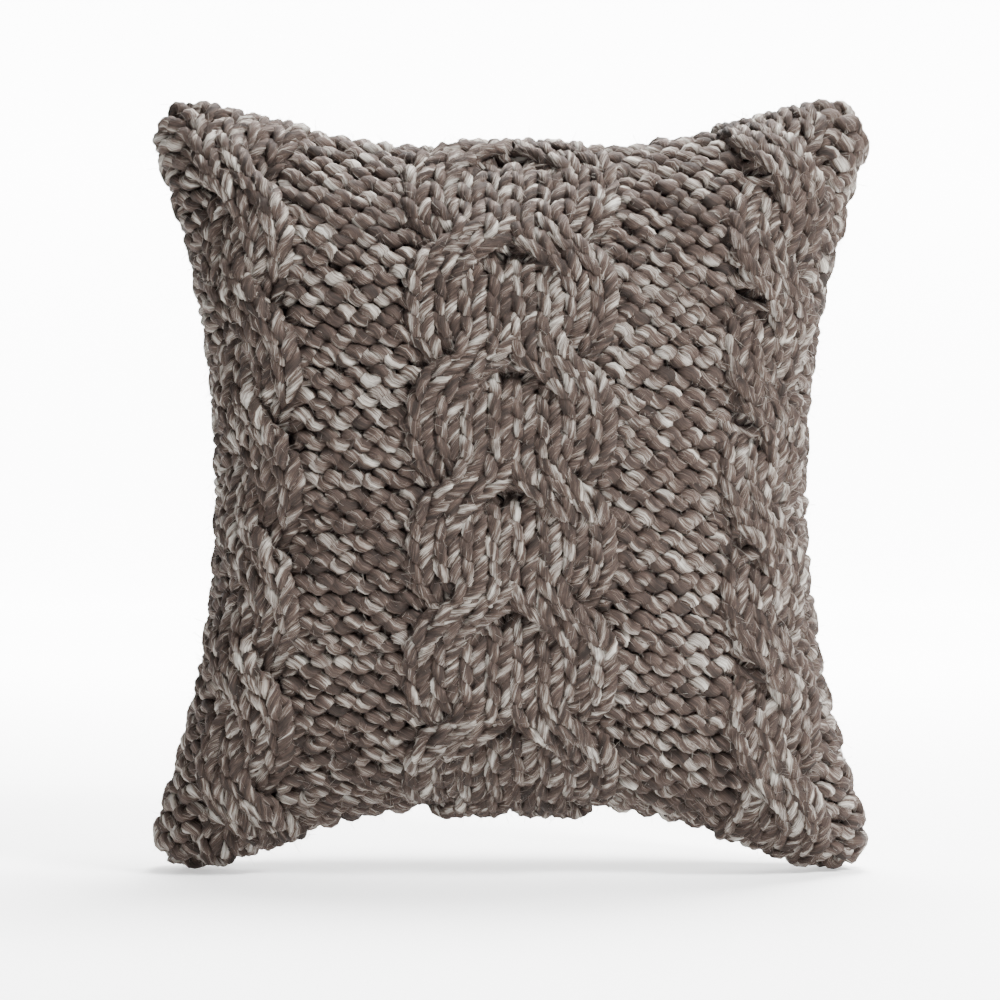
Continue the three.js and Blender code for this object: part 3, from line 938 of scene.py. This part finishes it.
def crossed(across, up, level, height):
    """Moves the stitches of the cables over each other. across and up are in stitches and rows,
    level is the number of the points' row, and height is the lift that is changed."""
    half = CABLE_STITCHES / 2
    sizes = bpy.context.scene.pillow_sizes
    moved, shift = across.copy(), np.zeros_like(across)
    for begin, row, lean, reach, rise in crossings():
        away = (up - row) / reach
        near = np.abs(away) < 1.0
        centre = begin + half
        offset = across - centre
        inside = smooth((half + BLUR - np.abs(offset)) / (2 * BLUR)) * near
        passed = smooth(away / 2 + 0.5)
        below = level + 0.5 < row
        share = passed if below else 1 - passed
        left = 1 - smooth((offset + 0.25) / 0.5)
        moved += inside * half * share * (2 * left - 1)
        hump = np.where(near, (1 - away**2) ** 2, 0.0)
        moved += inside * (moved - centre) * PLAIT_SPREAD * hump
        turning = (1 - (2 * left - 1) ** 2) * inside + 4 * inside * (1 - inside)
        height -= turning * hump * CARRY_DEPTH
        in_front = left if below == (lean == LEAN_RIGHT) else 1 - left
        broad = np.where(near, 1 - away**2, 0.0)
        rise *= sizes.crossing_rise
        height += inside * rise * (broad * in_front - DIVE * hump * (1 - in_front))
        wide = np.clip(1 - np.abs(up - row) / (reach + 0.6), 0, 1)
        outside = np.maximum(np.abs(offset) - half, 0.0)
        fade = np.exp(-outside / PULL_FADE)
        fade *= smooth((np.abs(offset) - half + BLUR) / (2 * BLUR))
        shift -= np.sign(offset) * PULL_IN * smooth(wide) * fade
    return moved + shift


def loops(stitches, samples):
    """Places along a row in stitches, the stitch that each is in, and the turn of its loop."""
    share = np.arange(samples * stitches + 1) / samples
    stitch = np.minimum(share.astype(int), stitches - 1)
    return share, stitch, 2 * math.pi * (share - stitch - 0.5)


def uneven_hand(seed, share, stitches):
    """Three smooth random lines along a row, for places across, up and out."""
    rng = np.random.default_rng(seed)
    knots = np.linspace(0, stitches, 2 * stitches + 1)
    return [np.interp(share, knots, rng.normal(0, 1, len(knots))) for _ in range(3)]


def placed(skin, s, up, lift):
    """Points on the skin, from the share of the width, the row and the lift."""
    t = (up + ROW_ROOM) / (ROWS + 2 * ROW_ROOM)
    return skin.place(SIDE_ROOM + (1 - 2 * SIDE_ROOM) * s, t, lift)


def front_rows(first, last):
    """Paths of the front panel's rows from first up to last, as one yarn that turns back at
    the end of each row."""
    sizes = bpy.context.scene.pillow_sizes
    kinds = np.concatenate([[kind] * count for _, kind, count in BANDS])
    stitches = len(kinds)
    widths = np.where(kinds == PURL, sizes.purl_width, sizes.cable_width)
    edges = np.concatenate([[0.0], np.cumsum(widths)]) / widths.sum()
    skin = Skin(FRONT, *KNIT_PLACE)
    share, stitch, turn = loops(stitches, FRONT_SAMPLES)
    part = share - stitch
    to_next = smooth((part - (1 - BLUR)) / (2 * BLUR)) - smooth((BLUR - part) / (2 * BLUR))
    neighbour = np.clip(stitch + np.sign(to_next).astype(int), 0, stitches - 1)
    soft_kind = kinds[stitch] * (1 - np.abs(to_next)) + kinds[neighbour] * np.abs(to_next)
    knit = smooth(soft_kind / 2 + 0.5)
    swing = PURL_SWING + (KNIT_SWING - PURL_SWING) * knit
    reach = PURL_REACH + (KNIT_REACH - PURL_REACH) * knit
    rise = sizes.cable_rise * knit
    astray, proud = FRONT_UNEVEN
    pieces = []
    for row in range(first, last):
        aside, above, out = uneven_hand(1000 + row, share, stitches)
        across = share + swing * np.sin(2 * turn) + astray * aside
        up = row + 0.5 + (reach + astray * above) * np.cos(turn)
        up -= PURL_SLANT * (1 - knit) * np.sin(2 * turn)
        lift = -soft_kind * sizes.loop_depth * np.cos(2 * turn)
        lift -= knit * sizes.loop_depth * KNIT_LEAN * np.cos(turn)
        lift += rise - FRONT_SINK
        lift += proud * out
        across = crossed(across, up, row, lift)
        behind = smooth(-(lift - rise) / BEHIND_DEPTH)
        girth = FRONT_GIRTH - BEHIND_THIN * behind + PURL_THICKER * (1 - knit)
        s = np.interp(across, np.arange(stitches + 1), edges)
        pieces.append((placed(skin, s, up, lift), girth))
    return [joined_rows(pieces, FRONT)]


def back_rows(first, last):
    """Paths of the back panel's rows: plain knit in the same yarn."""
    sizes = bpy.context.scene.pillow_sizes
    stitches = sizes.back_stitches
    skin = Skin(BACK, *KNIT_PLACE)
    share, _, turn = loops(stitches, BACK_SAMPLES)
    astray, proud = BACK_UNEVEN
    pieces = []
    for row in range(first, last):
        aside, above, out = uneven_hand(5000 + row, share, stitches)
        across = share + KNIT_SWING * np.sin(2 * turn) + astray * aside
        up = row + 0.5 + (KNIT_REACH + astray * above) * np.cos(turn)
        lift = -sizes.loop_depth * (np.cos(2 * turn) + KNIT_LEAN * np.cos(turn))
        lift += proud * out
        girth = BACK_GIRTH - BEHIND_THIN * smooth(-lift / BEHIND_DEPTH)
        pieces.append((placed(skin, across / stitches, up, lift), girth))
    return [joined_rows(pieces, BACK)]


def joined_rows(pieces, side):
    """One path of several rows, every other one turned round, with a round turn between each
    two, kept out of the zip's way and off the floor."""
    radius = bpy.context.scene.pillow_sizes.yarn_radius
    line, girths = [], []
    for number, (path, girth) in enumerate(pieces):
        if number % 2:
            path, girth = path[::-1], girth[::-1]
        if line:
            begin, end = line[-1][-1], path[0]
            leave, arrive = begin - line[-1][-3], path[2] - end
            share = np.linspace(0, 1, 7)[1:-1, None]
            bend = (
                (1 - share) ** 3 * begin + 3 * (1 - share) ** 2 * share * (begin + leave * 0.8)
                + 3 * (1 - share) * share**2 * (end - arrive * 0.8) + share**3 * end
            )
            line.append(bend)
            girths.append(np.full(len(bend), TURN_GIRTH))
        line.append(path)
        girths.append(girth)
    line, girths = np.concatenate(line), np.concatenate(girths)
    clear_zip(line, side, ZIP_SLOT_HALF + radius * 1.1, ZIP_DEPTH)
    line[:, 2] = np.maximum(line[:, 2], radius * FLOOR_RADII)
    return line, girths


def by_the_zip(x):
    """1 along the zip, fading to 0 just past its ends."""
    return smooth((ZIP_SPAN / 2 + END_FADE - np.abs(x)) / END_FADE)


def clear_zip(points, side, room, depth):
    """Moves points of one half away from the middle plane, where the zip needs room."""
    inset = points[..., 2] - bottom_edge(points[..., 0])
    least = room * by_the_zip(points[..., 0])
    least *= smooth((depth + DEPTH_FADE - inset) / DEPTH_FADE)
    points[..., 1] += side * np.maximum(least - points[..., 1] * side, 0.0)


def zip_arc():
    """The bottom edge's arc: its radius and the height of its middle."""
    radius, past = hollow_arc(EAR_REACH, BOTTOM_PULL)
    return radius, EAR_LOW - past


def bottom_edge(x):
    """Height of the bottom edge's arc at x."""
    radius, centre = zip_arc()
    return centre + np.sqrt(np.maximum(radius**2 - x**2, 0.0))


# ---------------------------------------------------------------- cloth and other pieces


def cloth_mesh(name, skin, thickness):
    """Cloth over one half of the pillow, with its weave mapped in metres."""
    s, t = even_shares(CLOTH_COUNT)
    outer = skin.place(s, t, np.zeros_like(s))
    inner = skin.place(s, t, np.full_like(s, -thickness))
    inner[..., 1] = skin.side * np.maximum(skin.side * inner[..., 1], 0.0003)
    outer[..., 1] = skin.side * np.maximum(skin.side * outer[..., 1], 0.0003 + 0.6 * thickness)
    clear_zip(outer, skin.side, TAPE_ROOM + thickness, TAPE_DEPTH)
    clear_zip(inner, skin.side, TAPE_ROOM, TAPE_DEPTH)
    points = np.concatenate([outer.reshape(-1, 3), inner.reshape(-1, 3)])
    shift = CLOTH_COUNT**2
    ring = rim_indices(CLOTH_COUNT)
    after = np.roll(ring, -1)
    band = np.stack([after, ring, ring + shift, after + shift], axis=1)
    faces = np.concatenate([grid_faces(CLOTH_COUNT), grid_faces(CLOTH_COUNT, shift, True), band])
    if skin.side == BACK:
        faces = faces[:, ::-1]
    mesh = mesh_of(name, points, faces=faces)
    weave = np.stack([s * 2 * HALF_WIDTH, t * HEIGHT], axis=2).reshape(-1, 2)
    map_cloth(mesh, np.concatenate([weave, weave]))
    mesh.shade_smooth()
    return mesh


def points_of(mesh):
    return np.array([vertex.co for vertex in mesh.vertices])


def copied(node, name):
    """A copy of a node's mesh, and its points."""
    mesh = frame["nodes"][node].data.copy()
    mesh.name = name
    return mesh, points_of(mesh)


def piece_of(name, mesh, finish):
    piece = linked(name, mesh)
    mesh.materials.clear()
    mesh.materials.append(finish)
    return piece


# ---------------------------------------------------------------- operators


def aimed(thing, place, target):
    """Puts a lamp or camera at a place, turned to the target."""
    thing.location = place
    thing.rotation_euler = (target - thing.location).to_track_quat("-Z", "Y").to_euler()


class PILLOW_OT_studio(Operator):
    """Pale floor that glows as painted light, brightest at the back wall, soft light and the
    camera
    """

    bl_idname = "pillow.studio"
    bl_label = "Studio"

    def paper(self, graph):
        place = graph.place()
        grain = graph.noise(place, 90.0, 2.0)
        stops = [(0.3, (0.93, 0.93, 0.93)), (0.7, (0.95, 0.95, 0.95))]
        depth = graph.add("ShaderNodeSeparateXYZ", None, {0: place}, out="Y")
        # Painted light: the sweep glows faintly in front of the pillow and fully on its far wall,
        # and so lights the pillow from behind and below
        glow = depth.ramp(-0.05, 2.0) * 0.93 + 0.07
        glow_colour = graph.add("ShaderNodeCombineXYZ", None, {0: glow, 1: glow, 2: glow})
        return {"Base Color": graph.colours(grain, stops), "Emission Color": glow_colour}

    def execute(self, context):
        scene = context.scene
        scene.world = bpy.data.worlds.new("studio")
        scene.world.use_nodes = True
        sky = next(n for n in scene.world.node_tree.nodes if n.type == "BACKGROUND")
        sky.inputs["Color"].default_value = (1, 1, 1, 1)
        sky.inputs["Strength"].default_value = SKY
        bend = [(SWEEP_REACH + SWEEP_TURN * math.sin(a), SWEEP_TURN - SWEEP_TURN * math.cos(a))
                for a in np.linspace(0, math.pi / 2, 16)]
        bend = [(-SWEEP_REACH, 0.0), *bend, (SWEEP_REACH + SWEEP_TURN, SWEEP_TOP)]
        points = [(x, y, z - SWEEP_DROP) for y, z in bend for x in (-SWEEP_HALF, SWEEP_HALF)]
        faces = [(2 * i, 2 * i + 1, 2 * i + 3, 2 * i + 2) for i in range(len(bend) - 1)]
        mesh = mesh_of("floor", points, faces=faces)
        mesh.shade_smooth()
        # The sweep's glow is painted light: it whitens the background and backlights the pillow's
        # edges
        glowing_backdrop = finish_named("paper", self.paper, roughness=0.9, emission_strength=8.5)
        piece_of("floor", mesh, glowing_backdrop)
        for name, (place, size, power) in LAMPS.items():
            lamp = bpy.data.lights.new(name, "AREA")
            lamp.size = size
            lamp.energy = power
            aimed(linked(name, lamp), Vector(place), Vector((0, 0, HEIGHT / 2)))
        lens = bpy.data.cameras.new("camera")
        lens.lens = 100
        lens.sensor_width = 36
        scene.camera = linked("camera", lens)
        aimed(scene.camera, AIM + CAMERA_BACK, AIM)
        return {"FINISHED"}


class PILLOW_OT_front(Operator):
    """The front panel: cables, purl bands and margins, knitted in four lengths of yarn"""

    bl_idname = "pillow.front"
    bl_label = "Front panel"

    def execute(self, context):
        spans = {"lower": (0, 10), "waist": (10, 19), "chest": (19, 28), "upper": (28, ROWS)}
        for number, (name, (first, last)) in enumerate(spans.items()):
            piece = spun("front_knit_" + name, front_rows(first, last), 10 * number + 1)
            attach(piece, "root")
            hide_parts("knit_front_panel")
        return {"FINISHED"}


class PILLOW_OT_back(Operator):
    """The back panel, plain knit in the same yarn"""

    bl_idname = "pillow.back"
    bl_label = "Back panel"

    def execute(self, context):
        spans = {"lower": (0, 19), "upper": (19, ROWS)}
        for number, (name, (first, last)) in enumerate(spans.items()):
            paths = back_rows(first, last)
            piece = spun("back_knit_" + name, paths, 10 * number + 51, sides=10)
            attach(piece, "root")
            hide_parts("knit_back_panel")
        return {"FINISHED"}


class PILLOW_OT_seams(Operator):
    """Seam yarn, laced from panel to panel round the edge and left open at the zip"""

    bl_idname = "pillow.seams"
    bl_label = "Seams"

    def execute(self, context):
        lines = outline(SEAM_INSET, SEAM_SAMPLES + 1)
        for number, (name, (side, begin, end)) in enumerate(SEAMS.items()):
            line = lines[side][int(begin * SEAM_SAMPLES):int(end * SEAM_SAMPLES) + 1]
            length = np.linalg.norm(np.diff(line, axis=0), axis=1).sum()
            count = int(length / SEAM_STEP)
            line = even_points(line, count * TURN_SAMPLES + 1)
            phase = np.linspace(0, count * 2 * math.pi, len(line))
            along = np.gradient(line, axis=0)
            along /= np.linalg.norm(along, axis=1, keepdims=True)
            outward = np.stack([along[:, 1], -along[:, 0]], axis=1)
            if side in (1, 2):
                outward = -outward
            flat = line + outward * (SEAM_SWAY * np.cos(2 * phase))[:, None]
            swing = SEAM_SWING * np.sin(phase)
            height = np.maximum(flat[:, 1], SEAM_FLOOR)
            path = np.stack([flat[:, 0], swing, height], axis=1)
            girth = np.full(len(path), SEAM_GIRTH)
            piece = spun("seam_lacing_" + name, [(path, girth)], 200 + 10 * number, sides=10)
            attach(piece, "root")
            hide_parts("seam_yarn_" + name)
        return {"FINISHED"}


def cover_cloth(name, node, side, place, thickness, finish):
    """One half of a lining or casing, made as the stretched sheet that it is."""
    skin = Skin(side, *place)
    mesh = cloth_mesh(name, skin, thickness)
    piece = piece_of(name, mesh, finish)
    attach(piece, "root")
    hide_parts(node)
    return piece


class PILLOW_OT_lining(Operator):
    """Dark cotton lining, front and back"""

    bl_idname = "pillow.lining"
    bl_label = "Lining"

    def execute(self, context):
        finish = woven("lining cotton", colour_of("lining"), 0.0011, 0.00012)
        for name, side in HALVES.items():
            cover_cloth("lining_cloth_" + name, "lining_" + name, side, LINING_PLACE, LINING_THICK,
                        finish)
        return {"FINISHED"}


class PILLOW_OT_insert(Operator):
    """The insert: white cotton casing and its fibre filling"""

    bl_idname = "pillow.insert"
    bl_label = "Insert"

    def lumpy(self, side):
        """One half of the filling, a little lumpy and clear of the zip's tapes."""
        s, t = even_shares(CLOTH_COUNT)
        rng = np.random.default_rng(77 + side)
        lumps = np.zeros_like(s)
        for _ in range(LUMPS):
            x, y = rng.random(2)
            far = (s - x) ** 2 + (t - y) ** 2
            lumps += rng.normal(0, LUMP_HEIGHT) * np.exp(-far / LUMP_SPREAD)
        edge = np.minimum(np.minimum(s, 1 - s), np.minimum(t, 1 - t))
        skin = Skin(side, *FILLING_PLACE)
        grid = skin.place(s, t, -FILLING_GAP - np.abs(lumps) * smooth(edge / 0.1))
        tape_end = bottom_edge(grid[..., 0]) + TAPE_DEPTH * by_the_zip(grid[..., 0])
        grid[..., 2] = np.maximum(grid[..., 2], tape_end)
        return grid

    def execute(self, context):
        grids = [self.lumpy(side) for side in HALVES.values()]
        fill = piece_of("stuffing_fibre", closed_mesh("stuffing_fibre", *grids), fibre_finish())
        fill.data.shade_smooth()
        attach(fill, "root")
        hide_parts("fibre_fill")
        finish = woven("casing cotton", colour_of("casing"), 0.0008, 0.00008, 0.04)
        for name, side in HALVES.items():
            cover_cloth("casing_cloth_" + name, "insert_casing_" + name, side, CASING_PLACE,
                        CASING_THICK, finish)
        return {"FINISHED"}


def coil_tree():
    """Draws nylon thread along the coil's line."""

    def build(graph, given):
        curve = graph.add("GeometryNodeMeshToCurve", None, {"Mesh": given})
        ring = graph.add("GeometryNodeCurvePrimitiveCircle", None,
                         {"Resolution": 6, "Radius": given.other("Thread")})
        coil = graph.add("GeometryNodeCurveToMesh", None,
                         {"Curve": curve, "Profile Curve": ring, "Fill Caps": True})
        return graph.add("GeometryNodeSetShadeSmooth", None, {"Geometry": coil})

    return tree_named("zip coil", {"Line": "Geometry", "Thread": "Float"}, "Coil", build)


def fuzz_tree():
    """Scatters short bent fibre ends over the yarn, each leaning its own way."""

    def build(graph, given):
        seed, length = given.other("Seed"), given.other("Length")
        roots = graph.add("GeometryNodeDistributePointsOnFaces", {"distribute_method": "RANDOM"},
                          {"Mesh": given, "Density": given.other("Density"), "Seed": seed})
        bend = graph.add("GeometryNodeCurveQuadraticBezier", None, {
            "Resolution": 2,
            "Start": (0, 0, -0.1), "Middle": (0, 0.04, 0.5), "End": (0.1, 0.16, 1.0),
        })
        scale = graph.add("ShaderNodeCombineXYZ", None, {0: length, 1: length, 2: length})
        long = graph.add("GeometryNodeTransform", None, {"Geometry": bend, "Scale": scale})
        ring = graph.add("GeometryNodeCurvePrimitiveCircle", None,
                         {"Resolution": 3, "Radius": given.other("Thickness")})
        fibre = graph.add("GeometryNodeCurveToMesh", None,
                          {"Curve": long, "Profile Curve": ring})
        lean = graph.add("FunctionNodeRandomValue", {"data_type": "FLOAT_VECTOR"}, {
            "Min": (-1.25, -1.25, -3.14), "Max": (1.25, 1.25, 3.14), "Seed": seed})
        spin = graph.add("FunctionNodeEulerToRotation", None, {0: lean})
        turned = graph.add("FunctionNodeRotateRotation", {"rotation_space": "LOCAL"},
                           {"Rotation": roots.other("Rotation"), "Rotate By": spin})
        size = graph.add("FunctionNodeRandomValue", {"data_type": "FLOAT"},
                         {"Min": 0.45, "Max": 1.5, "Seed": seed + 1.0}, out=1)
        return graph.add("GeometryNodeInstanceOnPoints", None, {
            "Points": roots, "Instance": fibre, "Rotation": turned, "Scale": size})

    inputs = {"Cloth": "Geometry", "Density": "Float", "Seed": "Int", "Length": "Float",
              "Thickness": "Float"}
    return tree_named("fuzz", inputs, "Fuzz", build)


class PILLOW_OT_fuzz(Operator):
    """Loose fibre ends that stand off the yarn"""

    bl_idname = "pillow.fuzz"
    bl_label = "Fuzz"

    def execute(self, context):
        knitted = [o for o in bpy.data.objects if "_knit_" in o.name and "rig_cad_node" not in o]
        for number, cloth in enumerate(sorted(knitted, key=lambda o: o.name)):
            count = BACK_FIBRES if "back" in cloth.name else FRONT_FIBRES
            area = sum(face.area for face in cloth.data.polygons)
            piece = made_by(fuzz_tree(), cloth.data.copy(), cloth.name.replace("_knit_", "_fuzz_"),
                            Density=count / area, Seed=number + 1, Length=FIBRE_LENGTH,
                            Thickness=FIBRE_RADIUS, Finish=fuzz_finish())
            for vertex in piece.data.vertices:
                vertex.co.z = max(vertex.co.z, FIBRE_FLOOR)
            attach(piece, "root")
        return {"FINISHED"}


class PILLOW_OT_zip(Operator):
    """The zip in the bottom seam: coils, tapes, slider, tab and stops"""

    bl_idname = "pillow.zip"
    bl_label = "Zip"

    pitch = 0.0016
    thread = 0.00038
    turn_samples = 12
    bare_end = 0.002
    curve_depth = 0.007

    def coil(self, name):
        """A coil on one tape, as a helix bent along the bottom edge's arc. Its height along the
        arc's radius comes from the mesh of the node that it replaces."""
        low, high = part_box("zip_coil_" + name)
        radius, centre = zip_arc()
        start, end = (math.asin(x / (radius + self.curve_depth)) for x in (low.x, high.x))
        co = points_of(frame["nodes"]["zip_coil_" + name].data)
        out = np.hypot(co[:, 0], co[:, 2] - centre)
        mid_out, half_out = (out.max() + out.min()) / 2, (out.max() - out.min()) / 2
        mid_y, half_y = (low.y + high.y) / 2, (high.y - low.y) / 2
        turns = int(mid_out * (end - start) / self.pitch)
        phase = np.linspace(0, 2 * math.pi * turns, turns * self.turn_samples + 1)
        angle = np.linspace(start + self.bare_end, end - self.bare_end, len(phase))
        r = mid_out + (half_out - self.thread) * np.cos(phase)
        y = mid_y + (half_y - self.thread) * np.sin(phase)
        points = np.stack([r * np.sin(angle), y, centre + r * np.cos(angle)], axis=1)
        edges = np.stack([np.arange(len(points) - 1), np.arange(1, len(points))], axis=1)
        piece = made_by(coil_tree(), mesh_of(name, points, edges), "coil_teeth_" + name,
                        Thread=self.thread, Finish=coil_finish())
        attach(piece, "root")
        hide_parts("zip_coil_" + name)

    def tape(self, name):
        """Plain-woven tape in the place of its plain solid."""
        mesh, co = copied("zip_tape_" + name, "tape_cloth_" + name)
        radius, centre = zip_arc()
        along = np.arctan2(co[:, 0], co[:, 2] - centre) * radius
        width = np.hypot(co[:, 0], co[:, 2] - centre)
        map_cloth(mesh, np.stack([along + co[:, 1], width + co[:, 1]], axis=1))
        finish = woven("zip tape", colour_of("zip_tape"), 0.0008, 0.00008)
        piece = piece_of("tape_cloth_" + name, mesh, finish)
        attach(piece, "root")
        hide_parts("zip_tape_" + name)

    def execute(self, context):
        for name in HALVES:
            self.coil(name)
            self.tape(name)
        for node in ("zip_slider", "zip_pull_tab", "zip_bottom_stop",
                     "zip_top_stop_front", "zip_top_stop_back"):
            metal = frame["nodes"][node]
            metal.data.materials.clear()
            metal.data.materials.append(metal_finish())
        return {"FINISHED"}


class PILLOW_OT_label(Operator):
    """The blank care label, a folded piece of satin tape in the side seam"""

    bl_idname = "pillow.label"
    bl_label = "Care label"

    def execute(self, context):
        mesh, co = copied("care_label", "label_satin")
        map_cloth(mesh, np.stack([co[:, 0] + co[:, 1], co[:, 2]], axis=1))
        piece = piece_of("label_satin", mesh, satin_finish())
        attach(piece, "root")
        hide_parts("care_label")
        return {"FINISHED"}


class PILLOW_PT_panel(Panel):
    """Lists the pillow's sizes, colours and pieces"""

    bl_label = "Pillow"
    bl_idname = "PILLOW_PT_panel"
    bl_space_type = "VIEW_3D"
    bl_region_type = "UI"
    bl_category = "Pillow"

    def draw(self, context):
        layout = self.layout
        for group in (context.scene.pillow_sizes, context.scene.pillow_colours):
            box = layout.box()
            for name in group.__annotations__:
                box.prop(group, name)
        for operator in OPERATORS:
            layout.operator(operator.bl_idname)


OPERATORS = (
    PILLOW_OT_studio,
    PILLOW_OT_front,
    PILLOW_OT_back,
    PILLOW_OT_seams,
    PILLOW_OT_fuzz,
    PILLOW_OT_lining,
    PILLOW_OT_insert,
    PILLOW_OT_zip,
    PILLOW_OT_label,
)
CLASSES = (PillowSizes, PillowColours, *OPERATORS, PILLOW_PT_panel)


def register():
    for cls in CLASSES:
        bpy.utils.register_class(cls)
    bpy.types.Scene.pillow_sizes = PointerProperty(type=PillowSizes)
    bpy.types.Scene.pillow_colours = PointerProperty(type=PillowColours)


def unregister():
    del bpy.types.Scene.pillow_sizes
    del bpy.types.Scene.pillow_colours
    for cls in reversed(CLASSES):
        bpy.utils.unregister_class(cls)


def main():
    register()
    for operator in OPERATORS:
        group, name = operator.bl_idname.split(".")
        getattr(getattr(bpy.ops, group), name)()


if __name__ == "__main__":
    main()
